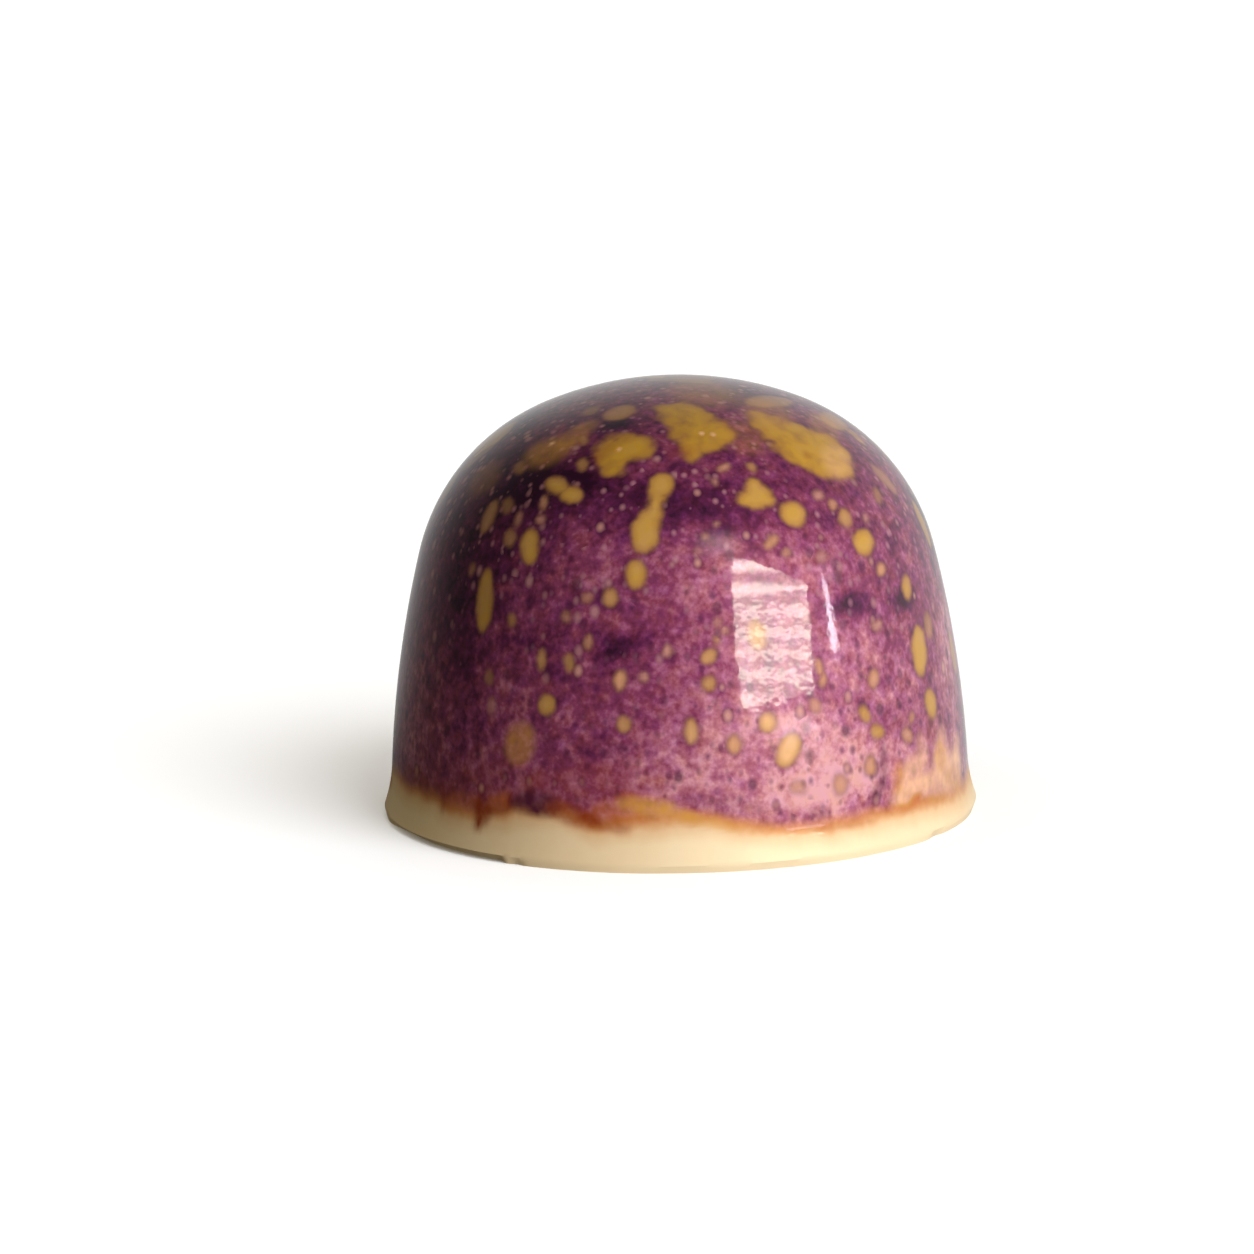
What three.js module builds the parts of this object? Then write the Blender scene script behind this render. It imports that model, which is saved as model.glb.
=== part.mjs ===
// A moulded chocolate bonbon: a tall dome on a small flared foot, cast in a polished cavity, filled and closed flat.
// It is one solid piece. Units are millimetres, +Z is up, the origin is the centre of the flat underside, and the
// front, which azimuths are counted from, is -Y.
import * as THREE from "three";
import { mergeVertices } from "three/addons/utils/BufferGeometryUtils.js";

// Driving dimensions of the outline. A slope is the steepness of the outline, in degrees: 0 is level, 90 is upright.
const FOOT_RADIUS = 15;
const LIP_HEIGHT = 0.38;
const COVE = { radius: 7.9, footSlope: 71, steps: 6 };
const WALL = { radius: 57, footSlope: 87, steps: 10 };
const SHOULDER = { radius: 10.6, footSlope: 76, steps: 14 };
const CROWN = { footSlope: 22.5, steps: 7 };

// The lip was trimmed by hand along the mould's face. It draws in towards the underside by an even cut, deeper along
// one stretch that ends abruptly, with a slow and a quick wave and a few nicks. Azimuths and widths are in degrees.
const EVEN_CUT = 0.09;
const DEEP_CUT = { depth: 0.4, from: -80, to: -35, fadeIn: 12, fadeOut: 2.5 };
const WAVES = [
  { depth: 0.035, turns: 5, start: 40 },
  { depth: 0.02, turns: 17, start: 115 },
];
const NICKS = [
  { azimuth: -33, width: 3, depth: 0.16 },
  { azimuth: 58, width: 4, depth: 0.14 },
  { azimuth: 131, width: 3.5, depth: 0.2 },
  { azimuth: -148, width: 5, depth: 0.17 },
];

// The coloured coat stops short of the lip, in lobes, and leaves a band of bare chocolate round the foot.
const BAND_HEIGHT = 2.6;
const LOBES = [
  { height: 0.45, turns: 3, start: 20 },
  { height: 0.3, turns: 8, start: 75 },
];
const COAT_COLOUR = new THREE.Color(0x7a3858);
const CHOCOLATE_COLOUR = new THREE.Color(0xf3deb4);
const GLOSS_ROUGHNESS = 0.16;

const SEGMENTS = 120;
const UNDERSIDE_RINGS = 2;

const { cos, sin, hypot, atan2, max, exp } = Math;
const radians = THREE.MathUtils.degToRad;
const degrees = THREE.MathUtils.radToDeg;

// The steps of an arc that carries the outline up from a point, from one slope to the next. A convex arc turns in
// towards the axis, and a hollow one, whose centre lies outside the piece, turns upright.
function arcUp(start, radius, fromSlope, toSlope, steps, hollow = false) {
  const side = hollow ? -1 : 1;
  const from = radians(fromSlope);
  const to = radians(toSlope);
  const centre = new THREE.Vector2(start.x - side * radius * sin(from), start.y - side * radius * cos(from));
  const turned = (slope) => (hollow ? 1.5 : 0.5) * Math.PI - slope;
  const arc = new THREE.EllipseCurve(centre.x, centre.y, radius, radius, turned(from), turned(to), hollow);
  return arc.getPoints(steps).slice(1);
}

// The half outline, as radius and height, from the middle of the underside round the lip and up to the crown's tip.
// The crown's arc is centred on the axis, so its radius, and with it the height of about 22, follow from the rest.
function outline() {
  const points = [];
  for (let ring = 0; ring < UNDERSIDE_RINGS; ring++) {
    points.push(new THREE.Vector2((FOOT_RADIUS * ring) / UNDERSIDE_RINGS, 0));
  }
  points.push(new THREE.Vector2(FOOT_RADIUS, 0), new THREE.Vector2(FOOT_RADIUS, LIP_HEIGHT));
  const grow = (...arc) => points.push(...arcUp(points.at(-1), ...arc));
  grow(COVE.radius, COVE.footSlope, WALL.footSlope, COVE.steps, true);
  grow(WALL.radius, WALL.footSlope, SHOULDER.footSlope, WALL.steps);
  grow(SHOULDER.radius, SHOULDER.footSlope, CROWN.footSlope, SHOULDER.steps);
  const crownRadius = points.at(-1).x / sin(radians(CROWN.footSlope));
  grow(crownRadius, CROWN.footSlope, 0, CROWN.steps);
  points.at(-1).x = 0;
  return points;
}

// The shortest way round from one azimuth to another, from -180 to 180 degrees.
function turnBetween(azimuth, other) {
  return THREE.MathUtils.euclideanModulo(azimuth - other + 180, 360) - 180;
}

// How far the lower edge of the lip is cut back from the foot's radius at an azimuth.
function cutAt(azimuth) {
  const { smoothstep } = THREE.MathUtils;
  const into = smoothstep(azimuth, DEEP_CUT.from, DEEP_CUT.from + DEEP_CUT.fadeIn);
  const out = smoothstep(azimuth, DEEP_CUT.to - DEEP_CUT.fadeOut, DEEP_CUT.to);
  let cut = EVEN_CUT + DEEP_CUT.depth * into * (1 - out);
  for (const wave of WAVES) {
    cut += wave.depth * sin(radians(wave.turns * azimuth + wave.start));
  }
  for (const nick of NICKS) {
    cut += nick.depth * exp(-((turnBetween(azimuth, nick.azimuth) / (nick.width / 2)) ** 2));
  }
  return max(cut, 0);
}

// The height at which the coloured coat ends at an azimuth.
function bandHeightAt(azimuth) {
  const lobes = LOBES.map((lobe) => lobe.height * sin(radians(lobe.turns * azimuth + lobe.start)));
  return lobes.reduce((sum, lobe) => sum + lobe, BAND_HEIGHT);
}

// The azimuth of a point, from the front towards +X, in degrees.
function azimuthOf(x, y) {
  return hypot(x, y) < 1e-6 ? 0 : degrees(atan2(x, -y));
}

// Draws the lip in towards the underside by the cut, and the underside with it.
function trimLip(geometry) {
  const position = geometry.attributes.position;
  for (let i = 0; i < position.count; i++) {
    const [x, y, z] = [position.getX(i), position.getY(i), position.getZ(i)];
    const share = max(0, 1 - z / LIP_HEIGHT);
    const scale = 1 - (share * cutAt(azimuthOf(x, y))) / FOOT_RADIUS;
    position.setXY(i, x * scale, y * scale);
  }
}

// Colours each vertex as coat or as bare chocolate.
function paintCoat(geometry) {
  const position = geometry.attributes.position;
  const colours = [];
  for (let i = 0; i < position.count; i++) {
    const bare = position.getZ(i) < bandHeightAt(azimuthOf(position.getX(i), position.getY(i)));
    colours.push(...(bare ? CHOCOLATE_COLOUR : COAT_COLOUR).toArray());
  }
  geometry.setAttribute("color", new THREE.Float32BufferAttribute(colours, 3));
}

// The outline turned round the upright axis, trimmed and coloured, as one closed surface.
function bonbonGeometry() {
  const turned = new THREE.LatheGeometry(outline(), SEGMENTS);
  turned.rotateX(Math.PI / 2);
  turned.deleteAttribute("normal");
  turned.deleteAttribute("uv");
  const geometry = mergeVertices(turned);
  trimLip(geometry);
  paintCoat(geometry);
  geometry.computeVertexNormals();
  return geometry;
}

function bonbonMesh() {
  const material = new THREE.MeshStandardMaterial({
    vertexColors: true,
    roughness: GLOSS_ROUGHNESS,
    metalness: 0,
  });
  const mesh = new THREE.Mesh(bonbonGeometry(), material);
  mesh.name = "bonbon";
  return mesh;
}

const part = new THREE.Group();
part.add(bonbonMesh());

export default part;
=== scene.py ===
"""A moulded white chocolate bonbon: a tall glossy dome on a small flared foot.

Its coat was made in the mould. Drops of mustard cocoa butter were flicked in first, a plum cocoa
butter was sprayed over them in fine specks, and white chocolate was cast behind. The coat stops short
of the foot in lobes, where the mould was wiped. Azimuths are in degrees from the front, which is -Y,
towards +X, and sizes are in millimetres.
"""

import logging
import math
from collections.abc import Sequence
from dataclasses import dataclass
from enum import Enum
from typing import Any

import bmesh
import bpy
import numpy as np
from mathutils import Matrix, Vector


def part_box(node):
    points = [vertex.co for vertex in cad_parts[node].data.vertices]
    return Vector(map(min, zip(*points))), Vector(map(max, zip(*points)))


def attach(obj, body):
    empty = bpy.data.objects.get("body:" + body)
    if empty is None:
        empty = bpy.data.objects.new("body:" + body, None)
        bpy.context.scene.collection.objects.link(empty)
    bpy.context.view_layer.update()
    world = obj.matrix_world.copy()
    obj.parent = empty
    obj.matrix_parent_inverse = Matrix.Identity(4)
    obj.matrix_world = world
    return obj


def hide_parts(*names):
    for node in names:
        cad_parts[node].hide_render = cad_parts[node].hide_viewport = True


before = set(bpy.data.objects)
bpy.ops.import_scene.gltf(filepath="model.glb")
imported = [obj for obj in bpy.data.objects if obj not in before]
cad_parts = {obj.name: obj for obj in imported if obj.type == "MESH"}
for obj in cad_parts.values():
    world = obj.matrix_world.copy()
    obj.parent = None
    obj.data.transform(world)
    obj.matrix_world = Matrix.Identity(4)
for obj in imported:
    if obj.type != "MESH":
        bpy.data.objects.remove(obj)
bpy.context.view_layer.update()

LOG = logging.getLogger("bonbon")
MM = 0.001
PHOTO_WIDTH = 1254

# The refractive index of cocoa butter.
FAT_IOR = 1.46

# How far from a mark's edge its depth is still worked out.
FAR = 1.2

# Short names for types: a node tree, a node's socket, a pair of numbers, and a colour ramp's stops.
Tree = bpy.types.NodeTree
Socket = bpy.types.NodeSocket
Pair = tuple[float, float]
Stops = tuple[tuple[float, str], ...]


def linear(srgb: str) -> tuple[float, float, float, float]:
    """Turn an sRGB hex colour into a linear one.

    Args:
        srgb: The colour as "#rrggbb".

    Returns:
        Red, green, blue and an alpha of 1.
    """
    parts = [int(srgb[i : i + 2], 16) / 255 for i in (1, 3, 5)]
    return (*(c / 12.92 if c <= 0.04045 else ((c + 0.055) / 1.055) ** 2.4 for c in parts), 1.0)


def add(tree: Tree, kind: str, inputs: dict[Any, Any] | None = None, **settings: Any) -> bpy.types.Node:
    """Add a node with its settings and links.

    Args:
        tree: The node tree that takes the node.
        kind: The node's type name.
        inputs: What each input gets, by its name or number: a socket to link, or a value to set. A Mix
            node takes its share at 0, and two values at 2 and 3 or two colours at 6 and 7. A Map Range
            node takes its value at 0, the range that it reads at 1 and 2, and the one that it gives at 3
            and 4.
        settings: The node's own settings.

    Returns:
        The new node.
    """
    node = tree.nodes.new(kind)
    for name, value in settings.items():
        setattr(node, name, value)
    for name, value in (inputs or {}).items():
        if isinstance(value, Socket):
            tree.links.new(value, node.inputs[name])
        else:
            node.inputs[name].default_value = value
    return node


def set_ramp(node: bpy.types.Node, stops: Sequence[tuple[float, Any]]) -> None:
    """Give a colour ramp its stops.

    Args:
        node: The Color Ramp node.
        stops: Each stop's place from 0 to 1 and its colour, as sRGB hex or already linear.
    """
    elements = node.color_ramp.elements
    while len(elements) < len(stops):
        elements.new(1.0)
    for element, (place, colour) in zip(elements, stops):
        element.position = place
        element.color = linear(colour) if isinstance(colour, str) else colour


def facing(place: Vector, target: Vector) -> Matrix:
    """Make the transform of a lamp at a place that shines on a target."""
    return Matrix.Translation(place) @ (target - place).to_track_quat("-Z", "Y").to_matrix().to_4x4()


def smooth(edge0: float, edge1: float, value: np.ndarray) -> np.ndarray:
    """Step smoothly from 0 at one value to 1 at another."""
    t = np.clip((value - edge0) / (edge1 - edge0), 0, 1)
    return t * t * (3 - 2 * t)


class DropTone(Enum):
    """The colours of the flicked cocoa butter, as places on the drop ramp."""

    ROSE = 0.0
    PEACH = 0.2
    TAN = 0.4
    MUSTARD = 0.6
    OCHRE = 0.8
    UMBER = 1.0


class StainTone(Enum):
    """The colours along the coat's lower edge, as places on the stain ramp; peach also colours the painted
    highlights.
    """

    PLUM = 0.0
    RUST = 0.25
    ORANGE = 0.5
    AMBER = 0.75
    PEACH = 1.0


@dataclass(frozen=True)
class Mark:
    """An oval mark on the dome, mostly of cocoa butter; a few pale ones are painted highlights.

    Attributes:
        azimuth: Where its middle is round the dome.
        height: How high its middle is.
        width: Its full size across.
        length: Its full size along its own axis, which points up the wall.
        lean: How far that axis leans from upright towards +X.
        tone: Its colour, as a place on a ramp, or how much it darkens the ground.
        cover: How much of what lies under it it hides, from 0 to 1.
    """

    azimuth: float
    height: float
    width: float
    length: float
    lean: float = 0.0
    tone: float = DropTone.MUSTARD.value
    cover: float = 1.0


@dataclass(frozen=True)
class Outline:
    """The half outline: a chain of arcs that touch smoothly, from the foot to the middle of the crown.

    A slope is the steepness of the outline in degrees, 0 level and 90 upright, and is the one at the foot
    of its arc. The crown's arc is centred on the axis, so its radius follows from the rest.

    Attributes:
        foot_radius: The radius of the flat underside before the lip is trimmed.
        lip_height: How high the upright lip is.
        step: How far apart the outline's points are.
        underside_rings: How many rings the underside has.
    """

    foot_radius: float = 15.0
    lip_height: float = 0.38
    cove_radius: float = 7.9
    cove_slope: float = 71.0
    wall_radius: float = 57.0
    wall_slope: float = 87.0
    shoulder_radius: float = 10.6
    shoulder_slope: float = 76.0
    crown_slope: float = 22.5
    step: float = 0.18
    underside_rings: int = 8

    def arc(
        self, start: Pair, radius: float, slopes: Pair, hollow: bool = False
    ) -> list[tuple[float, float]]:
        """Carry the outline up from a point along an arc.

        Args:
            start: The radius and height of the point that the arc starts from.
            radius: The arc's radius.
            slopes: The slopes at its two ends.
            hollow: True where its centre lies outside the piece.

        Returns:
            The arc's points after the start, as radius and height.
        """
        reach = -radius if hollow else radius
        a, b = (math.radians(slope) for slope in slopes)
        inner, level = start[0] - reach * math.sin(a), start[1] - reach * math.cos(a)
        count = max(2, round(radius * abs(b - a) / self.step))
        turns = [a + (b - a) * i / count for i in range(1, count + 1)]
        return [(inner + reach * math.sin(turn), level + reach * math.cos(turn)) for turn in turns]

    def points(self) -> list[tuple[float, float]]:
        """List the outline's points, as radius and height, from the underside's middle to the crown's tip."""
        foot = self.foot_radius
        chain = [(foot * i / self.underside_rings, 0.0) for i in range(self.underside_rings + 1)]
        chain += [(foot, self.lip_height / 2), (foot, self.lip_height)]
        chain += self.arc(chain[-1], self.cove_radius, (self.cove_slope, self.wall_slope), hollow=True)
        chain += self.arc(chain[-1], self.wall_radius, (self.wall_slope, self.shoulder_slope))
        chain += self.arc(chain[-1], self.shoulder_radius, (self.shoulder_slope, self.crown_slope))
        crown_radius = chain[-1][0] / math.sin(math.radians(self.crown_slope))
        chain += self.arc(chain[-1], crown_radius, (self.crown_slope, 0.0))
        return chain[:-1] + [(0.0, chain[-1][1])]


@dataclass(frozen=True)
class Lip:
    """The lip's lower edge, trimmed by hand along the mould's face.

    It draws in towards the underside by an even cut, deeper along one stretch, with waves and a few nicks.

    Attributes:
        even_cut: The cut all round.
        deep_cut: The extra cut along the deep stretch.
        deep_from: Where the deep stretch starts.
        deep_to: Where it ends.
        fade_in: Over how many degrees it starts.
        fade_out: Over how many degrees it ends.
        waves: The depth of each wave, its number round the foot and where it starts.
        nicks: The azimuth of each nick, its width in degrees and its depth.
    """

    even_cut: float = 0.09
    deep_cut: float = 0.4
    deep_from: float = -80.0
    deep_to: float = -35.0
    fade_in: float = 12.0
    fade_out: float = 2.5
    waves: tuple[tuple[float, int, float], ...] = ((0.035, 5, 40.0), (0.02, 17, 115.0))
    nicks: tuple[tuple[float, float, float], ...] = (
        (-33.0, 3.0, 0.16), (58.0, 4.0, 0.14), (131.0, 3.5, 0.2), (-148.0, 5.0, 0.17),
    )

    def cut(self, azimuth: np.ndarray) -> np.ndarray:
        """Say how far the lower edge is cut back from the foot's radius.

        Args:
            azimuth: Azimuths in degrees, from -180 to 180.

        Returns:
            The cut at each of them.
        """
        deep = smooth(self.deep_from, self.deep_from + self.fade_in, azimuth)
        deep = deep * (1 - smooth(self.deep_to - self.fade_out, self.deep_to, azimuth))
        cut = self.even_cut + self.deep_cut * deep
        for depth, turns, start in self.waves:
            cut = cut + depth * np.sin(np.radians(turns * azimuth + start))
        for place, width, depth in self.nicks:
            turn = (azimuth - place + 180) % 360 - 180
            cut = cut + depth * np.exp(-((turn / (width / 2)) ** 2))
        return np.maximum(cut, 0)


@dataclass(frozen=True)
class Surface:
    """The points of the dome's surface and what places a mark on it.

    Attributes:
        points: Every point, in millimetres.
        azimuth: Each point's azimuth.
        outline: The outline that the surface was turned from, as radius and height.
    """

    points: np.ndarray
    azimuth: np.ndarray
    outline: np.ndarray

    def place(self, mark: Mark) -> tuple[np.ndarray, np.ndarray, np.ndarray]:
        """Find a mark's middle on the surface.

        Args:
            mark: The mark.

        Returns:
            The middle, the direction towards +X round the dome, and the direction up the wall.
        """
        wall = self.outline[self.outline[:, 1] > 0]
        reach = 0.15
        low, here, high = (np.interp(mark.height + d, wall[:, 1], wall[:, 0]) for d in (-reach, 0, reach))
        top = wall[-1, 1]
        rise = min(mark.height + reach, top) - max(mark.height - reach, 0)
        turn = math.radians(mark.azimuth)
        out = np.array([math.sin(turn), -math.cos(turn), 0.0])
        across = np.array([math.cos(turn), math.sin(turn), 0.0])
        up = out * (high - low) + np.array([0.0, 0.0, rise])
        return out * here + np.array([0.0, 0.0, mark.height]), across, up / np.linalg.norm(up)

    def depth_in(self, mark: Mark) -> tuple[np.ndarray, np.ndarray]:
        """Measure how deep inside an oval mark the points lie.

        Args:
            mark: The mark.

        Returns:
            The numbers of the points near it, and how far inside its edge each is, negative outside.
        """
        middle, across, up = self.place(mark)
        lean = math.radians(mark.lean)
        along = up * math.cos(lean) + across * math.sin(lean)
        beside = across * math.cos(lean) - up * math.sin(lean)
        half = np.array([mark.width / 2, mark.length / 2])
        offset = self.points - middle
        near = np.nonzero(np.einsum("ij,ij->i", offset, offset) < (half.max() + FAR) ** 2)[0]
        flat = np.stack([offset[near] @ beside, offset[near] @ along], 1)
        lift = offset[near] @ np.cross(across, up) / half.max()
        share = np.sqrt(((flat / half) ** 2).sum(1) + lift**2)
        steep = np.sqrt(((flat / half**2) ** 2).sum(1)) + 1e-6
        return near, -share * (share - 1) / steep


@dataclass(frozen=True)
class Splatter:
    """The drops flicked into the mould: a few large splashes that ran together, and many small drops.

    Attributes:
        blend: How widely the marks of one splash flow into each other.
        ripples: The lengths along the three axes and the depth of each ripple of an ochre splash's edge.
        splash_slope: How fast an ochre splash thickens from its soft edge, where a drop has 1.
        crown_height: Where the crown starts, over which the front's own marks reach further round.
        own_marks: The cosines of the azimuth down to which they reach, on the wall and on the crown.
        seed: What starts the random draw of the sides and the back.
        splash_count: How many large splashes there are away from the front.
        drop_count: How many drops there are on the rest of the wall.
    """

    blend: float = 0.5
    ripples: tuple = (((2.1, 9.0, 5.0), 0.08), ((5.0, 1.7, 3.0), 0.08), ((-1.3, 1.5, 4.0), 0.06))
    splash_slope: float = 0.68
    crown_height: float = 20.6
    own_marks: Pair = (0.2, -0.75)
    seed: int = 7
    splash_count: int = 11
    drop_count: int = 190

    def front(self) -> list[list[Mark]]:
        """List the splashes and drops that the front shows, each as the marks that flow together into it."""
        rose, peach, tan, mustard, ochre, _ = (tone.value for tone in DropTone)
        leaf = [
            Mark(41.5, 20.35, 1.7, 3.1, 9, ochre),
            Mark(46, 19.6, 2.8, 3.8, 40, ochre),
            Mark(53, 19.0, 2.5, 3.6, 61, ochre),
            Mark(58.5, 19.35, 1.5, 1.7, 0, ochre),
            Mark(53.5, 18.3, 1.2, 1.8, 59, ochre),
        ]
        star = [
            Mark(5, 21.0, 2.1, 3.1, -32, ochre),
            Mark(9.5, 20.3, 1.8, 2.7, -3, ochre),
            Mark(17.5, 20.3, 1.5, 1.8, -28, ochre),
            Mark(18, 20.6, 1.3, 1.3, 0, ochre),
            Mark(6, 19.75, 1.0, 1.2, 8, ochre),
            Mark(10, 21.0, 1.3, 1.7, 0, ochre),
            Mark(3, 20.5, 1.0, 1.2, 0, ochre),
            Mark(0, 21.3, 0.8, 1.2, 60, ochre),
        ]
        lobes = [
            Mark(-19.3, 19.4, 1.9, 2.1, 0, ochre),
            Mark(-16, 19.9, 1.5, 2.4, 82, ochre),
            Mark(-12, 19.95, 1.1, 1.3, 70, ochre),
            Mark(-24, 20.0, 0.8, 1.2, 20, ochre),
        ]
        drip = [
            Mark(-3.9, 18.4, 1.2, 1.35, 0, mustard),
            Mark(-5.3, 17.4, 0.7, 1.7, 9, mustard),
            Mark(-7.4, 16.3, 1.42, 2.1, 5, mustard),
        ]
        wedge = [
            Mark(20.5, 17.6, 0.8, 1.7, 84, mustard),
            Mark(22, 18.0, 0.9, 1.4, 0, mustard),
            Mark(23.5, 17.55, 0.6, 0.9, 100, mustard),
        ]
        single = [
            Mark(-30, 21.05, 1.5, 1.8, 14, tan, 0.75),
            Mark(-48, 21.0, 1.0, 1.1, -65, tan, 0.5),
            Mark(65, 21.1, 1.5, 3.4, -75, tan, 0.62),
            Mark(81, 19.9, 1.6, 2.9, 89, tan, 0.7),
            Mark(71, 17.3, 1.1, 2.0, -17, peach, 0.5),
            Mark(-51.5, 18.6, 0.7, 1.1, -68, tan, 0.5),
            Mark(-29.5, 19.1, 0.65, 0.9, -34, tan, 0.7),
            Mark(-34.5, 20.0, 0.5, 0.7, -43, tan, 0.7),
            Mark(-34.6, 18.15, 0.9, 1.55, -71, mustard),
            Mark(-28.7, 17.8, 0.95, 1.3, -83, mustard),
            Mark(-36, 17.35, 0.45, 0.9, -21, peach, 0.7),
            Mark(-47.5, 17.0, 0.8, 1.0, -43, tan, 0.45),
            Mark(-41.7, 16.55, 0.5, 0.75, -14, peach, 0.6),
            Mark(-35, 16.6, 0.45, 0.55, 88, rose, 0.7),
            Mark(-42.5, 15.6, 0.75, 0.95, -26, tan, 0.6),
            Mark(-52, 16.4, 0.95, 1.8, -5, tan, 0.65),
            Mark(-52, 13.9, 0.5, 0.6, -8, tan, 0.5),
            Mark(-36, 15.4, 1.1, 1.9, -18, mustard),
            Mark(-46, 12.55, 1.2, 3.1, -6, mustard, 0.85),
            Mark(-9, 14.4, 1.05, 1.4, 1, mustard),
            Mark(-14.5, 13.3, 0.75, 0.9, -2, tan),
            Mark(-19.7, 13.25, 0.5, 0.6, 52, peach, 0.6),
            Mark(-24.2, 12.25, 0.5, 0.6, -10, peach, 0.6),
            Mark(-37.5, 11.85, 0.5, 0.7, -19, tan, 0.6),
            Mark(-18.9, 11.1, 0.45, 0.8, 3, peach, 0.7),
            Mark(-29.2, 10.1, 0.55, 1.0, -7, tan, 0.8),
            Mark(-22.9, 10.1, 0.5, 0.9, -6, tan, 0.75),
            Mark(-42, 8.9, 0.65, 0.7, -5, tan, 0.45),
            Mark(-40.8, 7.6, 0.5, 0.8, -4, rose, 0.5),
            Mark(-27.3, 8.0, 0.95, 1.0, 0, mustard, 0.95),
            Mark(-11.9, 9.35, 0.65, 1.0, -1, peach),
            Mark(-7, 9.55, 0.42, 0.45, 0, rose),
            Mark(-2.3, 10.8, 0.4, 0.65, 10, rose, 0.9),
            Mark(-11.1, 7.25, 0.65, 0.8, 1, tan, 0.9),
            Mark(6.3, 10.5, 0.65, 0.8, 50, tan),
            Mark(6.2, 9.15, 0.68, 0.75, 0, tan),
            Mark(8.5, 12.1, 0.45, 0.55, 0, rose, 0.6),
            Mark(9.9, 11.7, 0.28, 0.35, 0, rose),
            Mark(8.1, 11.25, 0.28, 0.3, 0, peach),
            Mark(16.6, 11.4, 1.0, 1.5, -7, mustard, 0.7),
            Mark(2.4, 6.9, 0.62, 1.25, 3, tan),
            Mark(10.7, 6.2, 0.68, 0.9, -8, peach),
            Mark(17.8, 7.15, 0.78, 0.9, -8, mustard),
            Mark(21.8, 5.7, 1.1, 1.75, 32, mustard),
            Mark(28.2, 7.75, 0.6, 0.7, -16, peach, 0.7),
            Mark(29.9, 9.5, 0.42, 0.8, -6, peach, 0.8),
            Mark(30.5, 8.85, 0.42, 0.7, 12, peach, 0.8),
            Mark(40, 6.9, 0.6, 1.0, -25, mustard, 0.85),
            Mark(42.9, 5.95, 0.7, 1.0, -72, mustard, 0.85),
            Mark(43.4, 8.5, 0.7, 1.0, 20, peach, 0.8),
            Mark(46.5, 11.0, 0.5, 0.8, 84, rose, 0.85),
            Mark(51.6, 5.4, 0.68, 0.95, -60, peach, 0.8),
            Mark(53.6, 6.2, 0.4, 0.5, 0, peach, 0.7),
            Mark(40.3, 4.35, 0.7, 0.95, 0, peach, 0.9),
            Mark(32.8, 3.7, 0.75, 0.9, 0, peach, 0.7),
            Mark(23.6, 3.85, 0.55, 0.8, -81, peach, 0.6),
            Mark(30.3, 16.8, 1.35, 1.5, 84, mustard),
            Mark(48.2, 15.0, 1.3, 1.55, 70, mustard),
            Mark(44.9, 16.25, 0.85, 1.05, 25, tan, 0.85),
            Mark(43, 16.9, 0.5, 0.65, 26, peach, 0.8),
            Mark(40, 17.4, 0.55, 0.7, 75, rose, 0.85),
            Mark(52, 16.05, 0.4, 0.55, 47, rose, 0.7),
            Mark(61.3, 16.8, 0.6, 1.0, 40, tan, 0.5),
            Mark(51.3, 13.6, 0.6, 0.75, 60, peach, 0.9),
            Mark(34.6, 14.7, 0.58, 0.7, 78, rose, 0.6),
            Mark(22.6, 15.65, 0.45, 0.9, 58, peach, 0.8),
            Mark(25.6, 15.1, 0.4, 0.5, 67, peach, 0.8),
            Mark(59.5, 12.4, 0.9, 1.15, 20, mustard),
            Mark(60, 9.25, 1.5, 2.5, 10, mustard),
            Mark(66, 10.2, 1.0, 1.3, 10, tan, 0.55),
            Mark(61.5, 6.5, 1.2, 1.55, -10, mustard, 0.95),
            Mark(14.7, 19.0, 0.45, 0.75, 62, peach, 0.8),
            Mark(23.4, 18.9, 0.5, 0.6, 0, tan, 0.8),
            Mark(11.2, 18.45, 0.34, 0.4, 0, rose, 0.8),
            Mark(4.7, 15.4, 0.48, 0.5, 0, rose, 0.4),
            Mark(9.9, 16.6, 0.28, 0.3, 0, rose, 0.8),
            Mark(6.8, 16.05, 0.28, 0.3, 0, rose, 0.7),
        ]
        return [leaf, star, lobes, drip, wedge] + [[mark] for mark in single]

    def elsewhere(self) -> list[list[Mark]]:
        """Draw the splashes and drops of the far crown, the sides and the back, in the front's manner."""
        rng = np.random.default_rng(self.seed)
        tones = [tone.value for tone in DropTone]
        made = []
        while len(made) < self.splash_count:
            azimuth, height = rng.uniform(0, 360), 21.9 - 4.2 * rng.uniform(0, 1) ** 1.6
            size, tone = rng.uniform(1.3, 3.0), tones[rng.integers(3, 6)]
            splash = []
            for _ in range(rng.integers(2, 5)):
                width, length = size * rng.uniform(0.5, 0.8), size * rng.uniform(0.8, 1.3)
                lean, cover = rng.uniform(0, 180), rng.uniform(0.8, 1)
                splash.append(Mark(azimuth, height, width, length, lean, tone, cover))
                azimuth += rng.uniform(-4, 4)
                height = min(height + rng.uniform(-0.5, 0.5), 21.9)
            if not self.at_front(splash[0]):
                made.append(splash)
        while len(made) < self.splash_count + self.drop_count:
            azimuth, height = rng.uniform(0, 360), rng.uniform(3.5, 21.5)
            width = 0.35 + 1.0 * rng.uniform(0, 1) ** 3
            length = width * rng.uniform(1.0, 2.0 if height < 17 else 1.4)
            lean, tone = rng.normal(0, 14), tones[int(np.clip(rng.normal(1.2 + 2 * width, 1), 0, 4))]
            mark = Mark(azimuth, height, width, length, lean, tone, rng.uniform(0.5, 1))
            if not self.at_front(mark):
                made.append([mark])
        return made

    def raggedness(self, points: np.ndarray) -> np.ndarray:
        """Say how far the ripples move a splash's edge out at each point."""
        turns = [((points / np.array(lengths)).sum(1), depth) for lengths, depth in self.ripples]
        return sum(depth * np.sin(2 * math.pi * turn) for turn, depth in turns)

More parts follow.
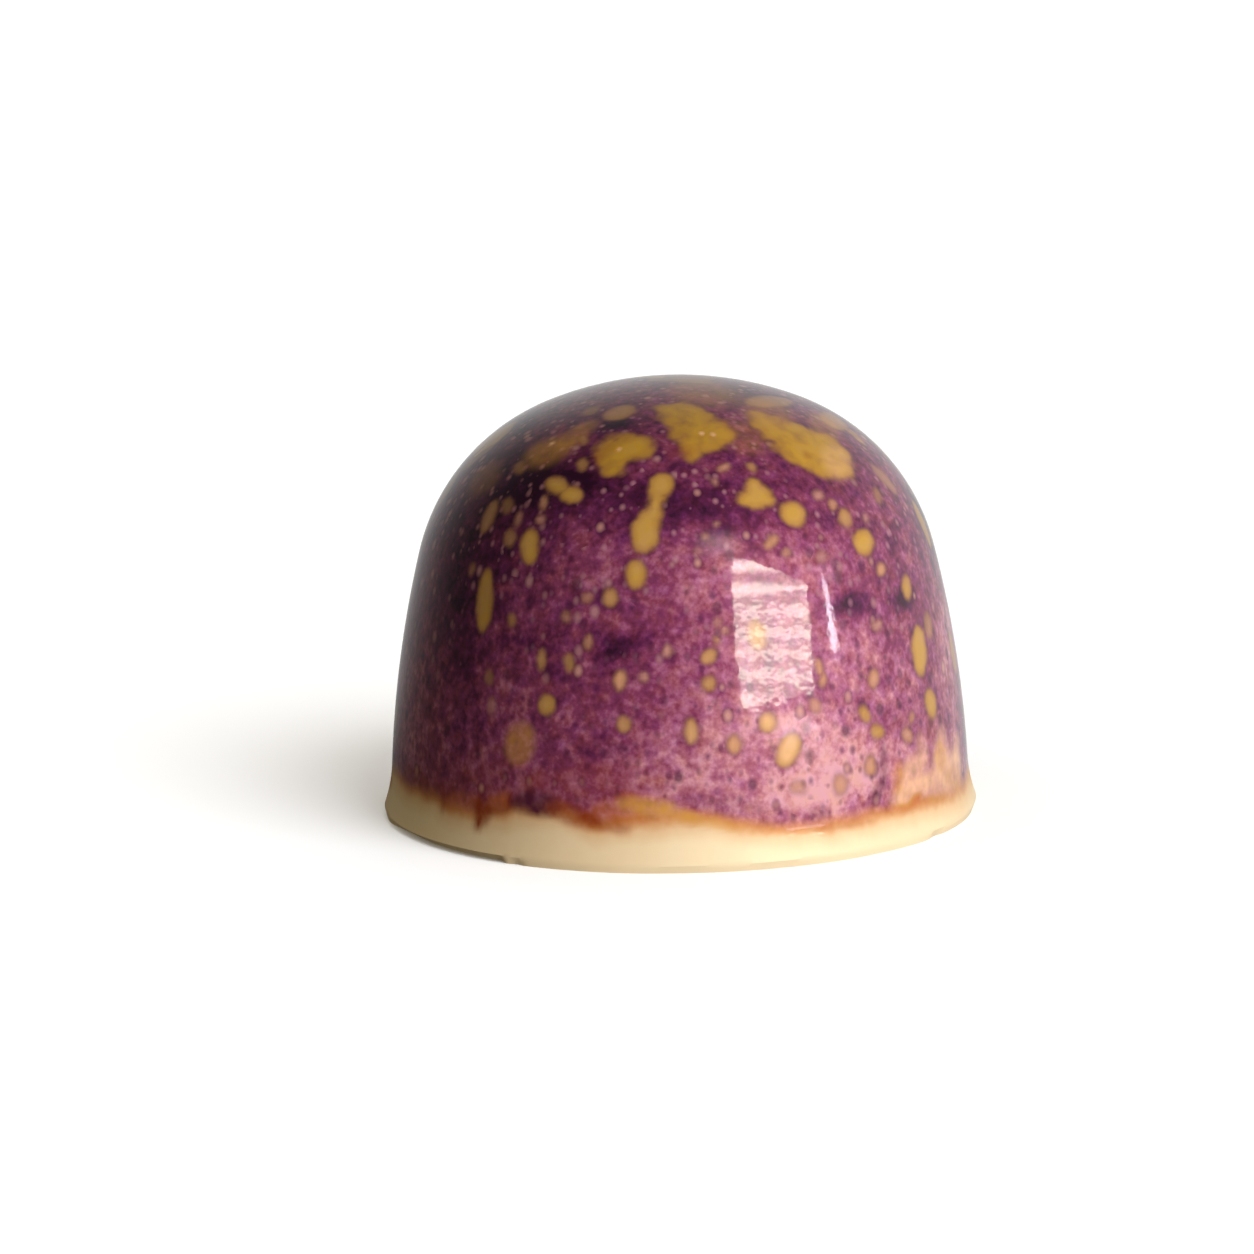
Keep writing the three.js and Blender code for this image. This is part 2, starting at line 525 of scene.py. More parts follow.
    def at_front(self, mark: Mark) -> bool:
        """Say whether a mark lies where the front's own marks are."""
        on_wall, on_crown = self.own_marks
        limit = on_wall if mark.height < self.crown_height else on_crown
        return math.cos(math.radians(mark.azimuth)) > limit

    def fields(self, surface: Surface) -> dict[str, np.ndarray]:
        """Work out the drops on every point of the surface.

        Args:
            surface: The surface.

        Returns:
            drop_depth, how far inside a drop's edge the point is, and that drop's drop_tone and drop_cover.
        """
        count = len(surface.points)
        depth, tone, cover = np.full(count, -FAR), np.zeros(count), np.zeros(count)
        for splash in self.front() + self.elsewhere():
            merged = np.full(count, -FAR)
            for mark in splash:
                near, inside = surface.depth_in(mark)
                other = merged[near]
                share = np.clip(0.5 + 0.5 * (inside - other) / self.blend, 0, 1)
                flow = share * (1 - share) * self.blend if len(splash) > 1 else 0.0
                merged[near] = np.maximum(other, inside) + flow
            if splash[0].tone >= DropTone.OCHRE.value:
                merged = (merged + self.raggedness(surface.points)) * self.splash_slope
            nearer = merged > depth
            depth[nearer], tone[nearer], cover[nearer] = merged[nearer], splash[0].tone, splash[0].cover
        return {"drop_depth": depth, "drop_tone": tone, "drop_cover": cover}


@dataclass(frozen=True)
class SprayedGround:
    """The plum spray behind the drops: dark where it is thick, pink where the white shows through.

    Attributes:
        foot_tone: How dark it is near the foot, from 0 to 1.
        crown_more: How much darker it is near the crown.
        rise: The heights between which it darkens.
        seed: What starts the random draw of the sides and the back.
        patch_count: How many soft patches the sides and the back have.
    """

    foot_tone: float = 0.4
    crown_more: float = 0.17
    rise: Pair = (3.0, 18.0)
    seed: int = 11
    patch_count: int = 46

    def front(self) -> list[Mark]:
        """List the soft patches of the front, whose tone is how much they darken the ground."""
        return [
            Mark(4, 17.5, 3.0, 8.0, -88, 0.24),
            Mark(-30, 18.4, 3.0, 9.0, 85, 0.3),
            Mark(-50, 17.5, 7.0, 8.0, 45, 0.25),
            Mark(-12, 10.9, 1.0, 2.2, 79, 0.55),
            Mark(40, 12.3, 1.1, 2.2, -83, 0.65),
            Mark(57, 11.9, 1.1, 2.0, -84, 0.6),
            Mark(12, 14.6, 3.0, 4.0, -89, -0.16),
            Mark(-52, 10.0, 7.0, 15.0, 0, 0.2),
            Mark(-54, 12.5, 4.0, 5.0, 0, 0.2),
            Mark(24, 4.8, 3.6, 8.0, -84, -0.2),
            Mark(32, 5.8, 3.6, 5.0, -84, -0.14),
            Mark(-18, 5.5, 3.0, 6.0, 89, 0.14),
            Mark(2, 5.0, 2.5, 5.0, 89, -0.12),
            Mark(-13, 14.6, 3.0, 4.5, 90, -0.15),
            Mark(41, 9.0, 4.0, 6.0, -85, -0.08),
            Mark(30, 14.6, 3.0, 4.0, -85, -0.15),
            Mark(-22, 10.5, 8.0, 10.0, 0, 0.09),
            Mark(4, 13.6, 3.0, 4.0, 0, -0.14),
            Mark(38, 11.3, 5.0, 6.0, 0, -0.12),
            Mark(43, 4.6, 2.4, 7.0, 90, -0.14),
            Mark(21, 7.0, 1.8, 4.6, 90, -0.3),
            Mark(-25, 20.7, 1.2, 2.6, 85, 0.45),
            Mark(-3, 4.4, 2.4, 7.0, 90, -0.08),
            Mark(27, 3.3, 2.0, 9.0, 87, -0.32),
            Mark(4.5, 8.2, 3.0, 4.0, 0, -0.12),
        ]

    def elsewhere(self) -> list[Mark]:
        """Draw the soft patches of the rest of the dome at random."""
        rng = np.random.default_rng(self.seed)
        made = []
        while len(made) < self.patch_count:
            azimuth, height, size = rng.uniform(0, 360), rng.uniform(3, 21.5), rng.uniform(1.5, 6)
            strength = rng.normal(0.06 * (height - 9) / 6, 0.22)
            mark = Mark(azimuth, height, size, size * rng.uniform(1, 2), rng.uniform(0, 180), strength)
            if math.cos(math.radians(azimuth)) < 0.25 or height > 21:
                made.append(mark)
        return made

    def fields(self, surface: Surface) -> dict[str, np.ndarray]:
        """Work out ground_tone, how dark the ground is, on every point of a surface."""
        height = surface.points[:, 2]
        tone = self.foot_tone + self.crown_more * smooth(*self.rise, height)
        for mark in self.front() + self.elsewhere():
            middle, across, up = surface.place(mark)
            lean = math.radians(mark.lean)
            along = up * math.cos(lean) + across * math.sin(lean)
            beside = across * math.cos(lean) - up * math.sin(lean)
            offset = surface.points - middle
            reach = (offset @ beside / (mark.width / 2)) ** 2 + (offset @ along / (mark.length / 2)) ** 2
            reach = reach + (offset @ np.cross(across, up) / (mark.length / 2)) ** 2
            tone = tone + mark.tone * np.exp(-reach)
        return {"ground_tone": tone}


@dataclass(frozen=True)
class CoatEdge:
    """The coat's lower edge, in lobes, its thin stained spots, and a few painted highlights.

    Rust, orange, amber and plum stains lie along the edge, where the coat was wiped thin. Higher up, soft
    smears lie round the crown's splashes and on some drops. Tiny pale spots on the splashes are painted
    highlights, where the window shines back from tiny dents.

    Attributes:
        heights: Azimuths and heights that the edge passes through, round the whole foot.
        softness: How far a stain fades at its edge.
        front_reach: The azimuth, to either side, up to which the edge has only the front's own stains.
        seed: What starts the random draw of the stains behind.
        stain_count: How many stains the sides and the back have.
    """

    heights: tuple[Pair, ...] = (
        (-180, 2.2), (-160, 2.9), (-142, 2.3), (-125, 1.8), (-108, 2.5), (-92, 2.1), (-80, 2.4),
        (-67, 2.1), (-58, 2.2), (-51, 1.9), (-46, 1.9), (-37, 2.1), (-33, 2.5), (-24, 2.6), (-15.5, 2.0),
        (-8, 2.3), (4, 2.4), (13, 1.9), (21, 1.55), (30, 1.5), (39, 1.65), (54, 1.55), (73, 1.3),
        (90, 1.8), (108, 2.6), (124, 2.2), (140, 1.7), (160, 2.4), (180, 2.2),
    )
    softness: float = 0.35
    front_reach: float = 86.0
    seed: int = 5
    stain_count: int = 40

    def height_at(self, azimuth: np.ndarray) -> np.ndarray:
        """Say how high the coat's lower edge is at each azimuth."""
        places, heights = np.array(self.heights).T
        left = np.clip(np.searchsorted(places, azimuth, side="right") - 1, 0, len(places) - 2)
        share = (azimuth - places[left]) / (places[left + 1] - places[left])
        share = share * share * (3 - 2 * share)
        return heights[left] + (heights[left + 1] - heights[left]) * share

    def along_edge(self) -> list[Mark]:
        """List the stains along the edge at the front, and last the warm tint of the bare band."""
        plum, rust, orange, amber, peach = (tone.value for tone in StainTone)
        return [
            Mark(-17, 4.3, 1.8, 7.0, 88, rust, 0.25),
            Mark(-38, 4.0, 1.6, 6.0, 88, rust, 0.2),
            Mark(66, 2.8, 1.9, 4.6, 86, peach, 0.65),
            Mark(52, 3.3, 1.8, 2.4, 70, peach, 0.55),
            Mark(52, 2.6, 1.1, 3.4, 82, peach, 0.5),
            Mark(64, 4.1, 1.4, 2.0, 20, peach, 0.4),
            Mark(56.5, 4.5, 0.8, 1.6, -20, peach, 0.3),
            Mark(73, 3.6, 1.0, 1.8, 30, peach, 0.4),
            Mark(47.5, 3.5, 0.8, 1.5, 10, orange, 0.35),
            Mark(63.5, 3.8, 1.0, 1.5, -10, amber, 0.45),
            Mark(70, 2.3, 1.0, 2.6, -76, amber, 0.35),
            Mark(60, 5.4, 0.8, 1.2, 0, rust, 0.25),
            Mark(43.8, 4.2, 0.45, 2.2, 6, plum, 0.5),
            Mark(41.5, 3.0, 0.5, 1.3, 40, plum, 0.45),
            Mark(53, 2.15, 0.35, 0.8, 80, rust, 0.5),
            Mark(-66, 3.0, 0.9, 3.0, 84, rust, 0.45),
            Mark(-56, 2.8, 0.9, 3.4, 84, rust, 0.4),
            Mark(-48, 2.6, 0.8, 2.6, 80, orange, 0.45),
            Mark(-53.5, 2.4, 0.35, 1.2, 5, rust, 0.5),
            Mark(-42.6, 2.3, 0.55, 1.7, 3, rust, 0.95),
            Mark(-40.5, 2.4, 0.5, 1.3, 12, rust, 0.7),
            Mark(-38, 2.75, 0.9, 1.9, 75, rust, 0.55),
            Mark(-36.5, 3.1, 0.6, 1.9, 80, amber, 0.3),
            Mark(-30, 3.15, 1.0, 2.6, 84, plum, 0.85),
            Mark(-27.5, 2.85, 0.6, 1.8, 88, plum, 0.8),
            Mark(-21, 2.7, 1.0, 3.0, -76, rust, 0.6),
            Mark(-14.5, 2.4, 0.7, 2.4, -76, rust, 0.55),
            Mark(-12, 2.9, 0.8, 2.6, -80, orange, 0.5),
            Mark(-7, 3.3, 0.8, 2.8, -84, amber, 0.6),
            Mark(-2, 3.0, 0.6, 2.8, -78, amber, 0.5),
            Mark(8, 3.3, 0.7, 3.4, -84, plum, 0.2),
            Mark(18, 2.9, 0.5, 2.0, -84, plum, 0.1),
            Mark(27.5, 2.4, 0.5, 1.2, -84, plum, 0.35),
            Mark(5, 2.5, 0.4, 3.6, -76, amber, 0.4),
            Mark(33, 1.65, 0.3, 3.6, -88, rust, 0.2),
            Mark(45, 1.95, 0.35, 3.6, -88, rust, 0.15),
            Mark(57, 1.8, 0.35, 4.0, -88, orange, 0.25),
            Mark(-22, 1.2, 2.4, 9.0, 90, amber, 0.08),
        ]

    def smears(self) -> list[Mark]:
        """List the soft smears round the crown's splashes and on some drops of the front."""
        rust, amber, peach = (tone.value for tone in (StainTone.RUST, StainTone.AMBER, StainTone.PEACH))
        return [
            Mark(-33.1, 5.95, 1.4, 1.9, 20, amber, 0.55),
            Mark(21.8, 5.75, 0.8, 1.3, 32, peach, 0.5),
            Mark(17.8, 7.15, 0.6, 0.7, -8, peach, 0.45),
            Mark(2.4, 6.8, 0.4, 0.8, 3, peach, 0.25),
            Mark(-45.8, 19.45, 1.9, 2.4, 69, amber, 0.42),
            Mark(-40, 20.2, 1.2, 2.4, 14, amber, 0.42),
            Mark(-64, 17.9, 1.8, 2.3, -80, amber, 0.22),
            Mark(2, 19.7, 0.9, 1.4, 60, rust, 0.25),
            Mark(-24, 19.6, 0.8, 1.2, 20, rust, 0.3),
            Mark(55, 18.6, 1.5, 2.6, 60, peach, 0.28),
            Mark(44.6, 19.1, 0.35, 0.5, 30, rust, 0.35),
            Mark(27, 20.2, 2.0, 2.6, 0, amber, 0.2),
            Mark(33, 21.7, 3.0, 4.0, 33, amber, 0.3),
            Mark(50, 20.85, 2.2, 3.4, 50, amber, 0.3),
            Mark(69, 19.95, 1.6, 2.8, 70, amber, 0.28),
        ]

    def painted_highlights(self) -> list[Mark]:
        """List the painted highlights: tiny pale spots on the crown's splashes, where the window shines back.
        """
        places = ((-46.6, 19.74), (-19.3, 19.76), (10.7, 20.36), (14.9, 20.3))
        return [Mark(*place, 0.2, 0.24, 0, StainTone.PEACH.value, 0.9) for place in places]

    def elsewhere(self) -> list[Mark]:
        """Draw the stains of the sides and the back at random, along the coat's edge."""
        rng = np.random.default_rng(self.seed)
        tones = [tone.value for tone in StainTone]
        made = []
        while len(made) < self.stain_count:
            azimuth = rng.uniform(-180, 180)
            width, length = rng.uniform(0.4, 1.2), rng.uniform(1.0, 4.0)
            height = float(self.height_at(np.array([azimuth]))[0]) + rng.uniform(-0.2, 0.5) * width
            lean, tone = rng.normal(90, 12), tones[rng.integers(0, 5)]
            mark = Mark(azimuth, height, width, length, lean, tone, rng.uniform(0.25, 0.65))
            if abs(azimuth) > self.front_reach:
                made.append(mark)
        return made

    def fields(self, surface: Surface) -> dict[str, np.ndarray]:
        """Work out the coat's edge on every point of the surface.

        Args:
            surface: The surface.

        Returns:
            edge_height, how far above the coat's edge the point is, and the tone and cover of the stains and
            painted highlights on it.
        """
        count = len(surface.points)
        tone, cover = np.zeros(count), np.zeros(count)
        # The painted highlights are laid like the stains, with the same tone and cover.
        for mark in self.along_edge() + self.smears() + self.painted_highlights() + self.elsewhere():
            near, inside = surface.depth_in(mark)
            # A narrow stain fades over less than the usual width, and a wide one over more.
            soft = self.softness * min(mark.width / 0.5, max(1.0, mark.width))
            new = mark.cover * smooth(-soft, 0.6 * soft, inside)
            under = cover[near] * (1 - new)
            cover[near] = under + new
            tone[near] = (tone[near] * under + mark.tone * new) / np.maximum(cover[near], 1e-6)
        edge = surface.points[:, 2] - self.height_at(surface.azimuth)
        return {"edge_height": edge, "stain_and_highlight_tone": tone, "stain_and_highlight_cover": cover}


@dataclass(frozen=True)
class Specks:
    """Round soft specks of one kind, scattered over the ground.

    The spray's real specks are mostly under 0.1 mm and too fine to show, so they are drawn up to 0.3 mm.

    Attributes:
        spacing: How far apart they lie.
        radii: The radius of the smallest and of the largest; where it is below 0 there is none.
        hue: Their colour.
        cover: How much of the ground they hide.
        heights: The heights between which they go from none to all.
        softness: How wide their edge fades.
        squash: How their pattern is scaled along each axis, so that they are a little taller than wide.
    """

    spacing: float
    radii: Pair
    hue: str
    cover: float
    heights: Pair = (-1.0, 0.0)
    softness: float = 0.13
    squash: tuple[float, float, float] = (1.0, 1.0, 0.75)

    def over(self, tree: Tree, mm: Socket, under: Socket) -> Socket:
        """Lay the specks over a colour.

        Args:
            tree: The material's nodes.
            mm: The place on the piece in millimetres.
            under: The colour so far.

        Returns:
            The colour with the specks.
        """
        size, half = self.spacing, self.softness / 2
        squashed = add(
            tree, "ShaderNodeVectorMath", {0: mm, 1: self.squash}, operation="MULTIPLY"
        ).outputs[0]
        # Each kind moves by its own spacing, so that no two kinds share their cells.
        place = add(tree, "ShaderNodeVectorMath", {0: squashed, 1: (size, 2 * size, 5 * size)}).outputs[0]
        cells = add(tree, "ShaderNodeTexVoronoi", {"Vector": place, "Scale": 1 / size})
        chance = add(tree, "ShaderNodeSeparateColor", {0: cells.outputs["Color"]}).outputs[0]
        least, most = self.radii
        radius = add(tree, "ShaderNodeMapRange", {0: chance, 3: least, 4: most}).outputs[0]
        inside = add(
            tree, "ShaderNodeMath", {0: cells.outputs[0], 1: -size, 2: radius}, operation="MULTIPLY_ADD"
        ).outputs[0]
        speck = add(tree, "ShaderNodeMapRange", {0: inside, 1: -half, 2: half, 4: self.cover}).outputs[0]
        height = add(tree, "ShaderNodeSeparateXYZ", {0: mm}).outputs[2]
        low, high = self.heights
        common = add(tree, "ShaderNodeMapRange", {0: height, 1: low, 2: high}).outputs[0]
        shown = add(tree, "ShaderNodeMath", {0: speck, 1: common}, operation="MULTIPLY").outputs[0]
        return add(
            tree, "ShaderNodeMix", {0: shown, 6: under, 7: linear(self.hue)}, data_type="RGBA"
        ).outputs[2]


@dataclass(frozen=True)
class MouldedCoat:
    """Coloured cocoa butter on white chocolate, cast against a polished mould.

    The mould gives it a clear gloss that mirrors the window sharply, over a softer sheen from the fat
    beneath. The drops lie outermost, with soft brown edges and a dark halo where the plum spray gathered
    round them. The spray itself is a mottled ground with fine specks. Below the coat's edge the bare
    white chocolate shows, waxy and less glossy.

    A waver is the size of a noise that varies a value, and how far it moves it. A fade is a pair of
    depths or heights, the first where a layer is absent and the second where it is whole.

    Attributes:
        drops: The drops' colours, by tone.
        drop_edge: The brown of a drop's thin edge.
        ground: The spray's colours, from thin to thick.
        clouds: The wavers of the spray's tone.
        specks: The kinds of specks in the spray, in the order in which they are laid.
        stains: The colours along the lower edge, by tone, which also colour the painted highlights on the
            crown.
        chocolate: The bare white chocolate.
        halo: The spray that gathered round a drop.
        edge_tint: The coat where it thins out, and what seeped from it.
        hue_waver: The waver of the spray's hue.
        drop_waver: The waver of a drop's edge.
        drop_tone_waver: The waver of a drop's tone.
        drop_fade: The fade of a drop at its edge.
        rim: How deep in a drop its brown edge starts and ends.
        rim_strength: How brown the edge is.
        halo_fade: The fade of the halo.
        halo_strength: How much of the ground it hides.
        edge_waver: The waver of the coat's lower edge.
        tint_fade: The fade of the tint where the coat thins.
        tint_strength: How strong that tint is.
        bare_fade: The fade of the bare chocolate.
        seep_fade: The fade of what seeped below the edge.
        seep_strength: How strong it is.
        stain_waver: The waver of how much a stain hides.
        waves: The size of each kind of wave that breaks up what the gloss mirrors, and its strength.
        wave_height: How high those waves are.
        gloss: The roughness of the clear gloss.
        skin: How much of the clear gloss the coat and the bare chocolate have.
        sheen: The roughness of the fat beneath, under the coat and where it is bare.
        sheen_level: How much the fat beneath mirrors.
    """

    drops: Stops = (
        (0.0, "#cb9492"), (0.2, "#d09b78"), (0.4, "#bd905f"),
        (0.6, "#bf9449"), (0.8, "#c09331"), (1.0, "#96673a"),
    )
    drop_edge: str = "#945f3c"
    ground: Stops = (
        (0.0, "#d49ca4"), (0.15, "#c58694"), (0.3, "#a9637e"),
        (0.5, "#843a5e"), (0.72, "#5c1f48"), (1.0, "#2f0d28"),
    )
    clouds: tuple[Pair, ...] = ((2.5, 0.3), (0.8, 0.66), (0.3, 0.5))
    specks: tuple[Specks, ...] = (
        Specks(0.5, (-0.04, 0.17), "#4d1542", 0.6, (19, 12), softness=0.16),
        Specks(0.9, (-0.2, 0.27), "#451238", 0.7, (18, 9), softness=0.18),
        Specks(1.6, (-0.4, 0.36), "#370f2f", 0.65, softness=0.24),
        Specks(0.65, (-0.15, 0.27), "#3a0d33", 0.55, (4, 9), softness=0.16),
        Specks(0.5, (-0.1, 0.155), "#c08798", 0.6, (9, 15), softness=0.16),
        Specks(1.2, (-0.35, 0.36), "#4a1438", 0.55, softness=0.16),
        Specks(1.2, (-0.35, 0.23), "#cc958c", 0.75, softness=0.18),
        Specks(0.8, (-0.22, 0.28), "#4a1438", 0.5, (6, 12)),
        Specks(0.8, (-0.25, 0.23), "#c78f96", 0.6, (6, 12), softness=0.2),
    )
    stains: Stops = (
        (0.0, "#511a35"), (0.25, "#8a3312"), (0.5, "#c06a2a"), (0.75, "#cf9642"), (1.0, "#edba94"),
    )
    chocolate: str = "#f0dbb9"
    halo: str = "#461338"
    edge_tint: str = "#d08c46"
    hue_waver: Pair = (0.6, 0.13)
    drop_waver: Pair = (0.7, 0.33)
    drop_tone_waver: Pair = (1.0, 0.5)
    drop_fade: Pair = (-0.2, 0.19)
    rim: Pair = (-0.05, 0.4)
    rim_strength: float = 0.65
    halo_fade: Pair = (-0.36, 0.05)
    halo_strength: float = 0.52
    edge_waver: Pair = (1.2, 0.6)
    tint_fade: Pair = (0.9, 0.15)
    tint_strength: float = 0.85
    bare_fade: Pair = (0.4, -0.3)
    seep_fade: Pair = (-1.1, 0.1)
    seep_strength: float = 0.45
    stain_waver: Pair = (0.9, 1.4)
    waves: tuple[Pair, ...] = ((1.8, 0.02), (0.5, 0.055))
    wave_height: float = 0.1
    gloss: float = 0.06
    skin: Pair = (0.85, 0.05)
    sheen: Pair = (0.38, 0.42)
    sheen_level: float = 0.22

    def material(self) -> bpy.types.Material:
        """Build the material from the surface's own attributes and patterns in millimetres."""
        made = bpy.data.materials.new("moulded_cocoa_butter_on_white_chocolate")
        made.use_nodes = True
        tree = made.node_tree
        tree.nodes.clear()
        place = add(tree, "ShaderNodeTexCoord").outputs["Object"]
        mm = add(tree, "ShaderNodeVectorMath", {0: place, "Scale": 1 / MM}, operation="SCALE").outputs[0]
        colour = self.ground_colour(tree, mm)
        for kind in self.specks:
            colour = kind.over(tree, mm, colour)
        coated = self.drop_colour(tree, mm, colour)
        colour, bare = self.lower_edge(tree, mm, coated)
        coated_sheen, bare_sheen = self.sheen
        sheen = add(tree, "ShaderNodeMix", {0: bare, 2: coated_sheen, 3: bare_sheen}).outputs[0]
        coated_skin, bare_skin = self.skin
        skin = add(tree, "ShaderNodeMix", {0: bare, 2: coated_skin, 3: bare_skin}).outputs[0]
        relief = self.unevenness(tree, mm)
        shader = add(
            tree,
            "ShaderNodeBsdfPrincipled",
            {
                "Base Color": colour, "Roughness": sheen, "IOR": FAT_IOR,
                "Specular IOR Level": self.sheen_level, "Normal": relief, "Coat Weight": skin,
                "Coat Roughness": self.gloss, "Coat IOR": FAT_IOR, "Coat Normal": relief,
            },
        ).outputs[0]
        add(tree, "ShaderNodeOutputMaterial", {"Surface": shader})
        return made

    def unevenness(self, tree: Tree, mm: Socket) -> Socket:
        """Make the faint waves that break up what the coat mirrors.

        Args:
            tree: The material's nodes.
            mm: The place on the piece in millimetres.

        Returns:
            The waved normal.
        """
        normal = None
        for size, strength in self.waves:
            noise = {"Vector": mm, "Scale": 1 / size, "Detail": 1.0}
            height = add(tree, "ShaderNodeTexNoise", noise).outputs[0]
            inputs = {"Height": height, "Strength": strength, "Distance": self.wave_height * MM}
            if normal:
                inputs["Normal"] = normal
            normal = add(tree, "ShaderNodeBump", inputs).outputs[0]
        return normal

    def varied(self, tree: Tree, mm: Socket, value: Socket | float, waver: Pair) -> Socket:
        """Vary a value up and down by a noise.

        Args:
            tree: The material's nodes.
            mm: The place on the piece in millimetres.
            value: The value.
            waver: The size of the noise's clouds, and how far it moves the value.

        Returns:
            The varied value.
        """
        size, strength = waver
        clouds = {"Vector": mm, "Scale": 1 / size, "Detail": 2.0}
        noise = add(tree, "ShaderNodeTexNoise", clouds).outputs[0]
        level = add(tree, "ShaderNodeMath", {0: noise, 1: 0.5}, operation="SUBTRACT").outputs[0]
        return add(
            tree, "ShaderNodeMath", {0: level, 1: strength, 2: value}, operation="MULTIPLY_ADD"
        ).outputs[0]

    def ground_colour(self, tree: Tree, mm: Socket) -> Socket:
        """Mottle the spray from its attribute and the sizes of clouds, and colour it.

        Args:
            tree: The material's nodes.
            mm: The place on the piece in millimetres.

        Returns:
            The colour of the spray.
        """
        tone = add(tree, "ShaderNodeAttribute", attribute_name="ground_tone").outputs["Fac"]
        for cloud in self.clouds:
            tone = self.varied(tree, mm, tone, cloud)
        ramp = add(tree, "ShaderNodeValToRGB", {0: tone})
        set_ramp(ramp, self.ground)
        hue = self.varied(tree, mm, 0.5, self.hue_waver)
        return add(tree, "ShaderNodeHueSaturation", {"Color": ramp.outputs[0], "Hue": hue}).outputs[0]

    def drop_colour(self, tree: Tree, mm: Socket, under: Socket) -> Socket:
        """Lay the drops on, each in a dark halo, brown at its thin edge and uneven inside.

        Args:
            tree: The material's nodes.
            mm: The place on the piece in millimetres.
            under: The colour so far.

        Returns:
            The colour with the drops.
        """
        depth, tone, cover = (
            add(tree, "ShaderNodeAttribute", attribute_name=name).outputs["Fac"]
            for name in ("drop_depth", "drop_tone", "drop_cover")
        )
        depth = self.varied(tree, mm, depth, self.drop_waver)
        absent, whole = self.halo_fade
        ring = add(
            tree, "ShaderNodeMapRange", {0: depth, 1: absent, 2: whole, 4: self.halo_strength},
            interpolation_type="SMOOTHSTEP",
        ).outputs[0]
        ring = add(tree, "ShaderNodeMath", {0: ring, 1: cover}, operation="MULTIPLY").outputs[0]
        haloed = add(
            tree, "ShaderNodeMix", {0: ring, 6: under, 7: linear(self.halo)}, data_type="RGBA"
        ).outputs[2]
        ramp = add(tree, "ShaderNodeValToRGB", {0: self.varied(tree, mm, tone, self.drop_tone_waver)})
        set_ramp(ramp, self.drops)
        start, end = self.rim
        thin = add(
            tree, "ShaderNodeMapRange", {0: depth, 1: start, 2: end, 3: self.rim_strength, 4: 0.0}
        ).outputs[0]
        hue = add(
            tree, "ShaderNodeMix", {0: thin, 6: ramp.outputs[0], 7: linear(self.drop_edge)},
            data_type="RGBA",
        ).outputs[2]
        absent, whole = self.drop_fade
        inside = add(
            tree, "ShaderNodeMapRange", {0: depth, 1: absent, 2: whole}, interpolation_type="SMOOTHSTEP"
        ).outputs[0]
        shown = add(tree, "ShaderNodeMath", {0: inside, 1: cover}, operation="MULTIPLY").outputs[0]
        return add(tree, "ShaderNodeMix", {0: shown, 6: haloed, 7: hue}, data_type="RGBA").outputs[2]

    def lower_edge(self, tree: Tree, mm: Socket, coated: Socket) -> tuple[Socket, Socket]:
        """End the coat at its lower edge, with an orange tint where it thins, and lay the stains and the
        painted highlights on.

        Args:
            tree: The material's nodes.
            mm: The place on the piece in millimetres.
            coated: The coat's colour.

        Returns:
            The finished colour, and how bare the white chocolate is.
        """
        edge, tone, cover = (
            add(tree, "ShaderNodeAttribute", attribute_name=name).outputs["Fac"]
            for name in ("edge_height", "stain_and_highlight_tone", "stain_and_highlight_cover")
        )
        edge = self.varied(tree, mm, edge, self.edge_waver)
        absent, whole = self.tint_fade
        tint = add(
            tree, "ShaderNodeMapRange", {0: edge, 1: absent, 2: whole, 4: self.tint_strength},
            interpolation_type="SMOOTHSTEP",
        ).outputs[0]
        thinned = add(
            tree, "ShaderNodeMix", {0: tint, 6: coated, 7: linear(self.edge_tint)}, data_type="RGBA"
        ).outputs[2]
        absent, whole = self.bare_fade
        bare = add(
            tree, "ShaderNodeMapRange", {0: edge, 1: absent, 2: whole}, interpolation_type="SMOOTHSTEP"
        ).outputs[0]
        absent, whole = self.seep_fade
        seeped = add(
            tree, "ShaderNodeMapRange", {0: edge, 1: absent, 2: whole, 4: self.seep_strength},
            interpolation_type="SMOOTHSTEP",
        ).outputs[0]
        below = add(
            tree, "ShaderNodeMix", {0: seeped, 6: linear(self.chocolate), 7: linear(self.edge_tint)},
            data_type="RGBA",
        ).outputs[2]
        colour = add(tree, "ShaderNodeMix", {0: bare, 6: thinned, 7: below}, data_type="RGBA").outputs[2]
        patchy = self.varied(tree, mm, 1.0, self.stain_waver)
        shown = add(
            tree, "ShaderNodeMath", {0: patchy, 1: cover}, operation="MULTIPLY", use_clamp=True
        ).outputs[0]
        # The stain ramp colours both the stains and the painted highlights.
        ramp = add(tree, "ShaderNodeValToRGB", {0: tone})
        set_ramp(ramp, self.stains)
        stained = add(
            tree, "ShaderNodeMix", {0: shown, 6: colour, 7: ramp.outputs[0]}, data_type="RGBA"
        ).outputs[2]
        return stained, bare


